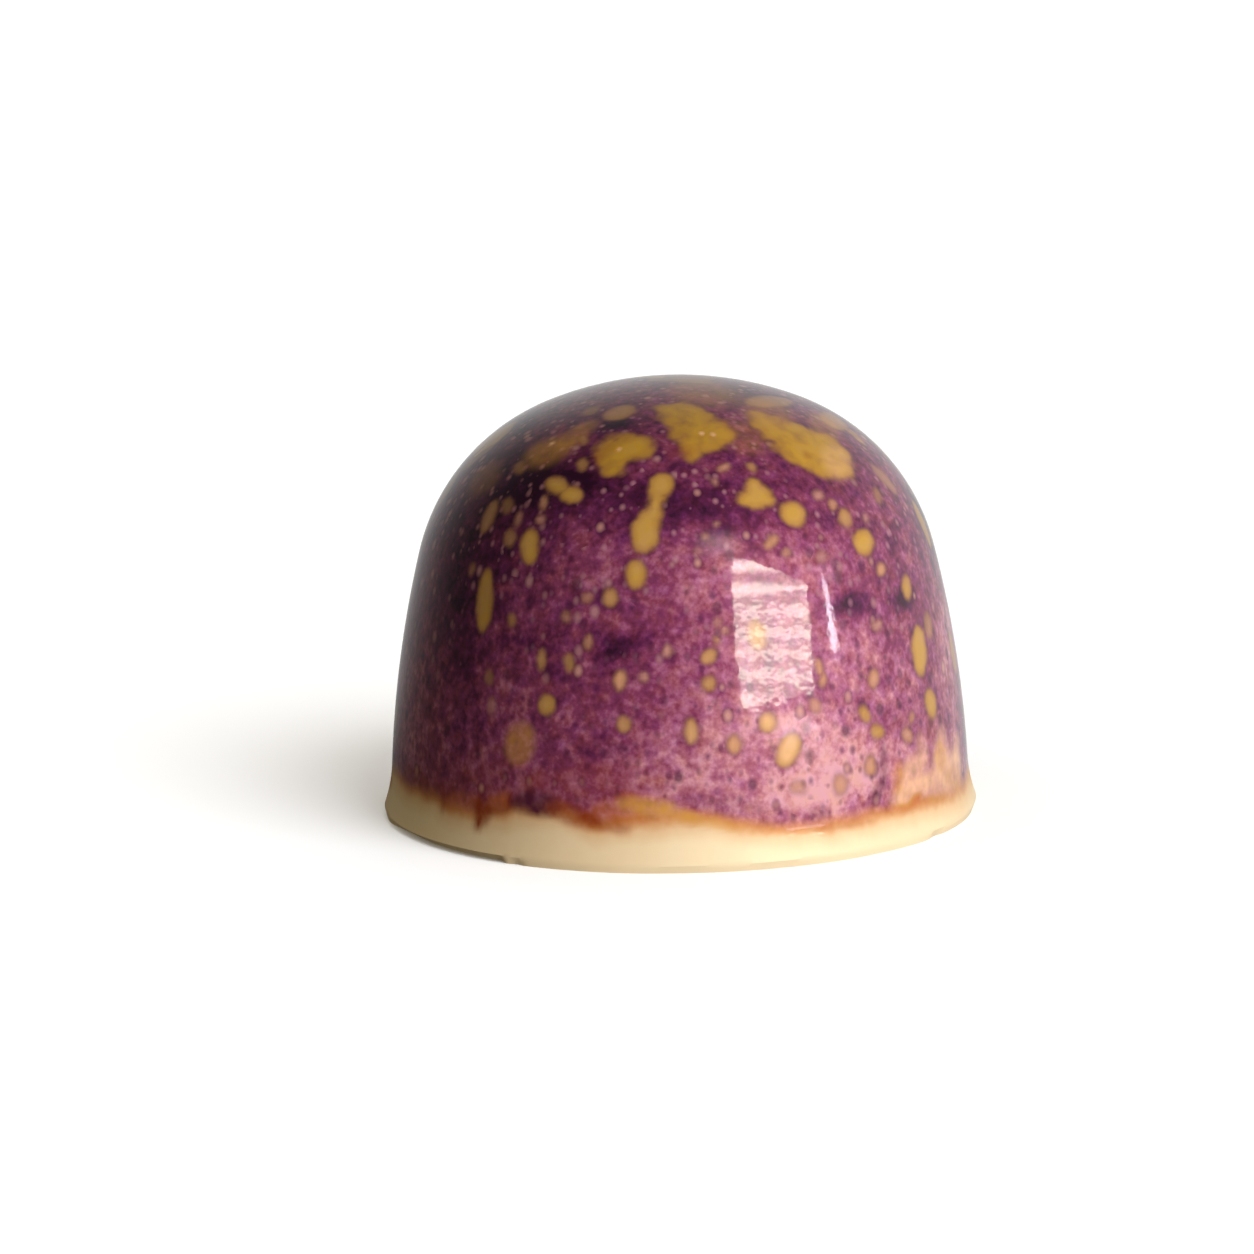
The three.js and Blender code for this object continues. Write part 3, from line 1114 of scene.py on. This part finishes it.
@dataclass(frozen=True)
class ScrapedChocolate:
    """White chocolate scraped level across the mould: the same fat, but dull, with straight drag marks.

    The real drag marks are under 0.1 mm wide and too fine to show, so they are drawn wider.

    Attributes:
        colour: Its colour.
        groove_shade: Its darker colour in the drag marks' grooves: painted shade where they sink.
        roughness: How dull it is.
        mark_spacing: How far apart the drag marks lie.
        mark_length: How long they run.
        mark_depth: How deep they are.
        mark_strength: How strongly they show.
    """

    colour: str = "#efd9ae"
    groove_shade: str = "#e6cc9c"
    roughness: float = 0.42
    mark_spacing: float = 0.35
    mark_length: float = 40.0
    mark_depth: float = 0.1
    mark_strength: float = 0.4

    def material(self) -> bpy.types.Material:
        """Build the material: drag marks bumped across the underside, with painted shade in their grooves."""
        made = bpy.data.materials.new("scraped_white_chocolate")
        made.use_nodes = True
        tree = made.node_tree
        tree.nodes.clear()
        place = add(tree, "ShaderNodeTexCoord").outputs["Object"]
        stretch = (1 / MM / self.mark_spacing, 1 / MM / self.mark_length, 1.0)
        stretched = add(
            tree, "ShaderNodeVectorMath", {0: place, 1: stretch}, operation="MULTIPLY"
        ).outputs[0]
        streaks = {"Vector": stretched, "Scale": 1.0, "Detail": 3.0}
        drag = add(tree, "ShaderNodeTexNoise", streaks).outputs[0]
        relief = {"Height": drag, "Strength": self.mark_strength, "Distance": self.mark_depth * MM}
        bump = add(tree, "ShaderNodeBump", relief).outputs[0]
        # Painted shade: the low parts of the drag noise, where the bump sinks, take the darker colour.
        ramp = add(tree, "ShaderNodeValToRGB", {0: drag})
        set_ramp(ramp, [(0.3, self.groove_shade), (0.7, self.colour)])
        shader = add(
            tree,
            "ShaderNodeBsdfPrincipled",
            {
                "Base Color": ramp.outputs[0], "Roughness": self.roughness, "IOR": FAT_IOR,
                "Normal": bump,
            },
        ).outputs[0]
        add(tree, "ShaderNodeOutputMaterial", {"Surface": shader})
        return made


@dataclass(frozen=True)
class Bonbon:
    """The whole sweet: one moulded body with its coat.

    Attributes:
        outline: Its half outline.
        lip: How its lip was trimmed.
        splatter: The drops in its coat.
        ground: The spray behind the drops.
        edge: The coat's lower edge and stains.
        coat: The coat's finish.
        underside: The underside's finish.
        steps: How many steps it is turned in.
        sharp_angle: The angle between faces from which their edge is sharp.
        level: How nearly straight down a face points where it belongs to the underside.
    """

    outline: Outline = Outline()
    lip: Lip = Lip()
    splatter: Splatter = Splatter()
    ground: SprayedGround = SprayedGround()
    edge: CoatEdge = CoatEdge()
    coat: MouldedCoat = MouldedCoat()
    underside: ScrapedChocolate = ScrapedChocolate()
    steps: int = 480
    sharp_angle: float = 35.0
    level: float = 0.9

    def turned(self) -> bpy.types.Mesh:
        """Turn the outline round the upright axis into one closed mesh, at the size of the frame's box."""
        low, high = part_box("bonbon")
        points = self.outline.points()
        across = high.x / self.outline.foot_radius
        up = (high.z - low.z) / points[-1][1]
        made = bmesh.new()
        ring = [made.verts.new((radius * across, 0, low.z + height * up)) for radius, height in points]
        chain = [made.edges.new(pair) for pair in zip(ring, ring[1:])]
        bmesh.ops.spin(
            made, geom=ring + chain, cent=(0, 0, 0), axis=(0, 0, 1), dvec=(0, 0, 0), angle=2 * math.pi,
            steps=self.steps, use_merge=True, use_normal_flip=False, use_duplicate=False,
        )
        bmesh.ops.remove_doubles(made, verts=made.verts[:], dist=0.001 * MM)
        bmesh.ops.recalc_face_normals(made, faces=made.faces[:])
        mesh = bpy.data.meshes.new("bonbon_body")
        made.to_mesh(mesh)
        made.free()
        return mesh

    def trim(self, mesh: bpy.types.Mesh) -> Surface:
        """Draw the lip in towards the underside by its cut.

        Args:
            mesh: The turned mesh, which is changed.

        Returns:
            The surface that the coat is laid on.
        """
        flat = np.zeros(len(mesh.vertices) * 3, np.float32)
        mesh.vertices.foreach_get("co", flat)
        points = flat.reshape(-1, 3).astype(float) / MM
        azimuth = np.degrees(np.arctan2(points[:, 0], -points[:, 1]))
        share = np.maximum(0, 1 - points[:, 2] / self.outline.lip_height)
        points[:, :2] *= (1 - share * self.lip.cut(azimuth) / self.outline.foot_radius)[:, None]
        mesh.vertices.foreach_set("co", (points * MM).astype(np.float32).ravel())
        return Surface(points, azimuth, np.array(self.outline.points()))

    def dress(self, mesh: bpy.types.Mesh, surface: Surface) -> None:
        """Write the coat's fields to the mesh and give its faces their finishes.

        Args:
            mesh: The trimmed mesh.
            surface: Its surface.
        """
        for layer in (self.splatter, self.ground, self.edge):
            for name, values in layer.fields(surface).items():
                field = mesh.attributes.new(name, "FLOAT", "POINT")
                field.data.foreach_set("value", values.astype(np.float32))
        for finish in (self.coat, self.underside):
            mesh.materials.append(finish.material())
        for face in mesh.polygons:
            face.use_smooth = True
            face.material_index = int(face.normal.z < -self.level)
        mesh.set_sharp_from_angle(angle=math.radians(self.sharp_angle))

    def build(self) -> bpy.types.Object:
        """Make the piece, in place of the solid that carries it."""
        mesh = self.turned()
        self.dress(mesh, self.trim(mesh))
        body = bpy.data.objects.new("bonbon_body", mesh)
        bpy.context.scene.collection.objects.link(body)
        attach(body, "root")
        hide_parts("bonbon")
        return body


@dataclass(frozen=True)
class Viewpoint:
    """The camera, at the photograph's angle.

    Attributes:
        distance: How far it is from the middle of the foot.
        elevation: How far above the table it looks from.
        roll: How far it leans to the right.
        focal_pixels: Its focal length in the photograph's pixels.
        foot_pixel: Where the photograph shows the middle of the foot.
        sensor: The width of its sensor.
        clip: How near and how far it sees, in metres.
    """

    distance: float = 350.0
    elevation: float = 12.95
    roll: float = 0.89
    focal_pixels: float = 6888.0
    foot_pixel: Pair = (680.4, 804.9)
    sensor: float = 36.0
    clip: Pair = (0.01, 10.0)

    def build(self) -> None:
        """Make the camera and set it as the scene's."""
        rise, lean = math.radians(self.elevation), math.radians(self.roll)
        ahead = Vector((0, math.cos(rise), -math.sin(rise)))
        level, upright = Vector((1, 0, 0)), Vector((0, math.sin(rise), math.cos(rise)))
        right = level * math.cos(lean) - upright * math.sin(lean)
        up = upright * math.cos(lean) + level * math.sin(lean)
        aside, below = (pixel - PHOTO_WIDTH / 2 for pixel in self.foot_pixel)
        look = (ahead - right * (aside / self.focal_pixels) + up * (below / self.focal_pixels)).normalized()
        right = look.cross(up).normalized()
        lens = bpy.data.cameras.new("camera")
        lens.sensor_width = self.sensor
        lens.lens = self.focal_pixels * self.sensor / PHOTO_WIDTH
        lens.clip_start, lens.clip_end = self.clip
        camera = bpy.data.objects.new("camera", lens)
        axes = Matrix((right, right.cross(look), -look)).transposed().to_4x4()
        camera.matrix_world = Matrix.Translation(-ahead * self.distance * MM) @ axes
        bpy.context.scene.collection.objects.link(camera)
        bpy.context.scene.camera = camera


@dataclass(frozen=True)
class Card:
    """A bright card that only shows as a reflection in the glossy coat.

    Attributes:
        name: What it stands for.
        distance: How far it stands from the sweet's axis.
        rows: From the lowest up, the azimuth and elevation of its left end and of its right end.
        radiance: How bright it is between its slats and on them, where the white table is 1.
        colour: The colour of its light.
        slats: How many slats lie across its left edge.
        right_part: The part of the slats that its right edge shows, from its lowest to its highest.
        fade: The share of its width and height over which it fades at each side.
        slat_wave: The height of the wave that the slats follow at which a slat or a gap is whole.
    """

    name: str
    distance: float
    rows: tuple
    radiance: Pair
    colour: str
    slats: float = 0.0
    right_part: Pair = (0.0, 1.0)
    fade: float = 0.0
    slat_wave: float = 0.8

    def material(self) -> bpy.types.Material:
        """Build a glow with soft bands that follow the slats."""
        made = bpy.data.materials.new(self.name)
        made.use_nodes = True
        tree = made.node_tree
        tree.nodes.clear()
        place = add(tree, "ShaderNodeSeparateXYZ", {0: add(tree, "ShaderNodeUVMap").outputs[0]}).outputs
        count = 2 * math.pi * self.slats
        turns = add(tree, "ShaderNodeMath", {0: place[1], 1: count}, operation="MULTIPLY").outputs[0]
        wave = add(tree, "ShaderNodeMath", {0: turns}, operation="COSINE").outputs[0]
        dim, bright = self.radiance
        whole = self.slat_wave
        level = add(tree, "ShaderNodeMapRange", {0: wave, 1: whole, 2: -whole, 3: dim, 4: bright}).outputs[0]
        glow = add(tree, "ShaderNodeEmission", {"Color": linear(self.colour), "Strength": level}).outputs[0]
        shown = 1.0
        for way in place[:2] if self.fade else ():
            inward = add(tree, "ShaderNodeMath", {0: way, 1: 0.5}, operation="PINGPONG").outputs[0]
            near = add(
                tree, "ShaderNodeMapRange", {0: inward, 2: self.fade}, interpolation_type="SMOOTHSTEP"
            ).outputs[0]
            shown = add(tree, "ShaderNodeMath", {0: near, 1: shown}, operation="MULTIPLY").outputs[0]
        clear = add(tree, "ShaderNodeBsdfTransparent").outputs[0]
        seen = add(tree, "ShaderNodeMixShader", {0: shown, 1: clear, 2: glow}).outputs[0]
        add(tree, "ShaderNodeOutputMaterial", {"Surface": seen})
        return made

    def build(self) -> None:
        """Stand the card in its place."""
        made = bmesh.new()
        slat_place = made.loops.layers.uv.new("UVMap")
        last = len(self.rows) - 1
        bmesh.ops.create_grid(made, x_segments=1, y_segments=last, size=0.5, calc_uvs=True)
        ends = [end for row in self.rows for end in row]
        for vert, (azimuth, elevation) in zip(made.verts, ends):
            turn, rise = math.radians(azimuth), math.radians(elevation)
            vert.co = Vector((math.sin(turn), -math.cos(turn), math.tan(rise))) * self.distance * MM
        low, high = self.right_part
        for face in made.faces:
            for loop in face.loops:
                across, up = loop[slat_place].uv
                loop[slat_place].uv = (across, up + across * (low + up * (high - low) - up))
        mesh = bpy.data.meshes.new(self.name)
        made.to_mesh(mesh)
        made.free()
        mesh.materials.append(self.material())
        card = bpy.data.objects.new(self.name, mesh)
        card.visible_camera = card.visible_diffuse = card.visible_shadow = False
        card.visible_transmission = card.visible_volume_scatter = False
        bpy.context.scene.collection.objects.link(card)


@dataclass(frozen=True)
class Studio:
    """The white table and the light: a warm window low at the front right, and a dim room round it.

    Attributes:
        table_half: Half the table's side, in metres.
        table_white: The table's colour.
        table_glow: How brightly the table lights the sweet from below, where its own white is 1.
        table_lamps: The name, strength, angle, azimuth and elevation of each lamp of the table alone.
        window_colour: The colour of the window's light.
        window_azimuth: Where the window stands.
        window_height: How high its middle is.
        window_distance: How far away it is.
        window_size: Its width and height.
        window_radiance: How bright it is.
        room_colour: The colour of the room's light on the sweet.
        wall_turns: How bright the mirrored room is, by the turn from straight behind towards the right.
        wall_rises: How much of that is left, by the sine of the elevation.
        ceiling_rises: The sines of the elevation between which the room's light on the sweet grows.
        ceiling_levels: How bright that light is at each.
        cards: What else the coat mirrors.
    """

    table_half: float = 3.0
    table_white: str = "#f0f2f8"
    table_glow: float = 0.15
    table_lamps: tuple = (("table_key", 2.3, 44, 42, 40), ("table_fill", 1.55, 160, 0, 89))
    window_colour: str = "#fffcf8"
    window_azimuth: float = 41.0
    window_height: float = 55.0
    window_distance: float = 400.0
    window_size: Pair = (290.0, 120.0)
    window_radiance: float = 18.2
    room_colour: str = "#fff0ca"
    wall_turns: tuple[Pair, ...] = (
        (-180, 0.03), (-75, 0.03), (-54, 0.1), (-40, 0.24), (-22, 0.42), (-3, 0.7), (90, 0.66),
        (125, 0.05),
    )
    wall_rises: tuple[Pair, ...] = (
        (0.0, 1.0), (0.22, 1.0), (0.45, 0.8), (0.62, 0.48), (0.73, 0.27), (0.86, 0.08),
    )
    ceiling_rises: Pair = (-0.1, 0.9)
    ceiling_levels: Pair = (0.07, 0.42)
    cards: tuple[Card, ...] = (
        Card(
            "blind", 300.0,
            (
                ((25.2, 5.3), (55.8, 5.3)), ((24.2, 10.0), (56.7, 8.2)), ((23.8, 13.5), (57.4, 10.6)),
                ((24.1, 17.5), (57.8, 13.0)), ((27.4, 37.0), (58.9, 17.3)),
            ),
            (6.0, 24.0), "#fff4e4", 7.0, (0.155, 0.84),
        ),
        Card(
            "window_edge", 400.0,
            (
                ((66.6, 6.2), (69.4, 6.2)), ((65.4, 8.1), (70.6, 7.6)), ((66.1, 10.5), (70.1, 10.2)),
                ((66.6, 12.7), (69.5, 12.4)), ((68.7, 22.0), (70.0, 22.6)),
            ),
            (25.0, 25.0), "#faf4ff", fade=0.3,
        ),
        Card(
            "haze", 300.0, (((7, 34.5), (36, 31.5)), ((6.5, 54), (43, 49))),
            (4.4, 4.4), "#fff0e8", fade=0.45,
        ),
        Card("tray", 300.0, (((40.4, 1.2), (56.5, 0.3)), ((41, 3.3), (57, 2))), (5.0, 5.0), "#ece6ff"),
    )

    def table(self) -> bpy.types.Object:
        """Make the table, matt white to the camera and a plain glow to the sweet.

        What the coat mirrors of it is bright towards the right and behind, and dark elsewhere.

        Returns:
            The table.
        """
        made = bmesh.new()
        bmesh.ops.create_grid(made, x_segments=1, y_segments=1, size=self.table_half)
        mesh = bpy.data.meshes.new("table")
        made.to_mesh(mesh)
        made.free()
        surface = bpy.data.materials.new("matt_white_card")
        surface.use_nodes = True
        tree = surface.node_tree
        tree.nodes.clear()
        rays = add(tree, "ShaderNodeLightPath")
        place = add(tree, "ShaderNodeTexCoord").outputs["Object"]
        way = add(tree, "ShaderNodeVectorMath", {0: place}, operation="NORMALIZE").outputs[0]
        mirrored = self.backdrop(tree, way)
        glossy = rays.outputs["Is Glossy Ray"]
        level = add(tree, "ShaderNodeMix", {0: glossy, 2: self.table_glow, 3: mirrored}).outputs[0]
        hue = self.ray_colour(tree, rays)
        glow = add(tree, "ShaderNodeEmission", {"Color": hue, "Strength": level}).outputs[0]
        matt = add(tree, "ShaderNodeBsdfDiffuse", {"Color": linear(self.table_white)}).outputs[0]
        seen = rays.outputs["Is Camera Ray"]
        shader = add(tree, "ShaderNodeMixShader", {0: seen, 1: glow, 2: matt}).outputs[0]
        add(tree, "ShaderNodeOutputMaterial", {"Surface": shader})
        mesh.materials.append(surface)
        table = bpy.data.objects.new("table", mesh)
        bpy.context.scene.collection.objects.link(table)
        return table

    def ray_colour(self, tree: Tree, rays: bpy.types.Node) -> Socket:
        """Make the room's light warm where it falls on the sweet, and neutral where the coat mirrors it.

        Args:
            tree: The nodes of the world or of the table.
            rays: The Light Path node.

        Returns:
            The light's colour.
        """
        warm, neutral = linear(self.room_colour), linear("#ffffff")
        return add(
            tree, "ShaderNodeMix", {0: rays.outputs["Is Glossy Ray"], 6: warm, 7: neutral},
            data_type="RGBA",
        ).outputs[2]

    def backdrop(self, tree: Tree, way: Socket) -> Socket:
        """Say how bright the room is where a level direction meets it.

        Args:
            tree: The nodes of the world or of the table.
            way: The direction from the sweet.

        Returns:
            The brightness, where the white table is 1.
        """
        axes = add(tree, "ShaderNodeSeparateXYZ", {0: way}).outputs
        turn = add(tree, "ShaderNodeMath", {0: axes[0], 1: axes[1]}, operation="ARCTAN2").outputs[0]
        place = add(tree, "ShaderNodeMapRange", {0: turn, 1: -math.pi, 2: math.pi}).outputs[0]
        ramp = add(tree, "ShaderNodeValToRGB", {0: place})
        ramp.color_ramp.interpolation = "B_SPLINE"
        turns = [((azimuth + 180) / 360, level) for azimuth, level in self.wall_turns]
        set_ramp(ramp, [(share, (level, level, level, 1.0)) for share, level in turns])
        return ramp.outputs[0]

    def window(self, lit_alone: bpy.types.Object) -> None:
        """Hang the lamp that stands for the window's light on the sweet.

        Args:
            lit_alone: The sweet's body, the one thing that it lights.
        """
        turn = math.radians(self.window_azimuth)
        place = Vector((math.sin(turn), -math.cos(turn), 0)) * self.window_distance * MM
        place.z = self.window_height * MM
        width, height = (side * MM for side in self.window_size)
        lamp = bpy.data.lights.new("window", "AREA")
        lamp.shape = "RECTANGLE"
        lamp.size, lamp.size_y = width, height
        lamp.energy = self.window_radiance * math.pi * width * height
        lamp.color = linear(self.window_colour)[:3]
        lit = bpy.data.objects.new("window", lamp)
        lit.matrix_world = facing(place, Vector((0, 0, 8 * MM)))
        lit.visible_glossy = False
        bpy.context.scene.collection.objects.link(lit)
        group = bpy.data.collections.new("lit_by_window")
        group.objects.link(lit_alone)
        lit.light_linking.receiver_collection = group

    def table_light(self, table: bpy.types.Object) -> None:
        """Light the table alone, so that the sweet's soft shadow falls back and to the left.

        Args:
            table: The table.
        """
        group = bpy.data.collections.new("lit_by_table_light")
        group.objects.link(table)
        for name, strength, angle, azimuth, elevation in self.table_lamps:
            lamp = bpy.data.lights.new(name, "SUN")
            lamp.energy, lamp.angle = strength, math.radians(angle)
            sun = bpy.data.objects.new(name, lamp)
            turn, rise = math.radians(azimuth), math.radians(elevation)
            level = math.cos(rise)
            place = Vector((math.sin(turn) * level, -math.cos(turn) * level, math.sin(rise)))
            sun.matrix_world = facing(place, Vector())
            bpy.context.scene.collection.objects.link(sun)
            sun.light_linking.receiver_collection = group

    def room(self) -> None:
        """Make the room: white to the camera, and to the coat a bright wall at the right and behind."""
        world = bpy.data.worlds.new("room")
        bpy.context.scene.world = world
        world.use_nodes = True
        tree = world.node_tree
        tree.nodes.clear()
        rays = add(tree, "ShaderNodeLightPath")
        way = add(tree, "ShaderNodeTexCoord").outputs["Generated"]
        rise = add(tree, "ShaderNodeSeparateXYZ", {0: way}).outputs[2]
        ramp = add(tree, "ShaderNodeValToRGB", {0: rise})
        ramp.color_ramp.interpolation = "B_SPLINE"
        set_ramp(ramp, [(place, (level, level, level, 1.0)) for place, level in self.wall_rises])
        wall = add(
            tree, "ShaderNodeMath", {0: self.backdrop(tree, way), 1: ramp.outputs[0]},
            operation="MULTIPLY",
        ).outputs[0]
        (low, high), (dim, bright) = self.ceiling_rises, self.ceiling_levels
        above = add(tree, "ShaderNodeMapRange", {0: rise, 1: low, 2: high, 3: dim, 4: bright}).outputs[0]
        diffuse = rays.outputs["Is Diffuse Ray"]
        level = add(tree, "ShaderNodeMix", {0: diffuse, 2: wall, 3: above}).outputs[0]
        hue = self.ray_colour(tree, rays)
        glow = add(tree, "ShaderNodeBackground", {"Color": hue, "Strength": level}).outputs[0]
        plain = add(tree, "ShaderNodeBackground", {"Color": linear("#ffffff"), "Strength": 1.0}).outputs[0]
        seen = rays.outputs["Is Camera Ray"]
        shader = add(tree, "ShaderNodeMixShader", {0: seen, 1: glow, 2: plain}).outputs[0]
        add(tree, "ShaderNodeOutputWorld", {"Surface": shader})

    def build(self, sweet: bpy.types.Object) -> None:
        """Set the table, hang the lights and set how the picture shows light.

        Args:
            sweet: The sweet's body.
        """
        table = self.table()
        for card in self.cards:
            card.build()
        self.window(sweet)
        self.table_light(table)
        self.room()
        bpy.context.scene.view_settings.view_transform = "Standard"
        bpy.context.scene.view_settings.look = "None"


def main() -> None:
    """Set the camera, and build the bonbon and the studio."""
    logging.basicConfig(level=logging.INFO, format="%(name)s: %(message)s")
    Viewpoint().build()
    body = Bonbon().build()
    LOG.info("%s: %d faces", body.name, len(body.data.polygons))
    Studio().build(body)
    LOG.info("studio: table, window, room")


if __name__ == "__main__":
    main()
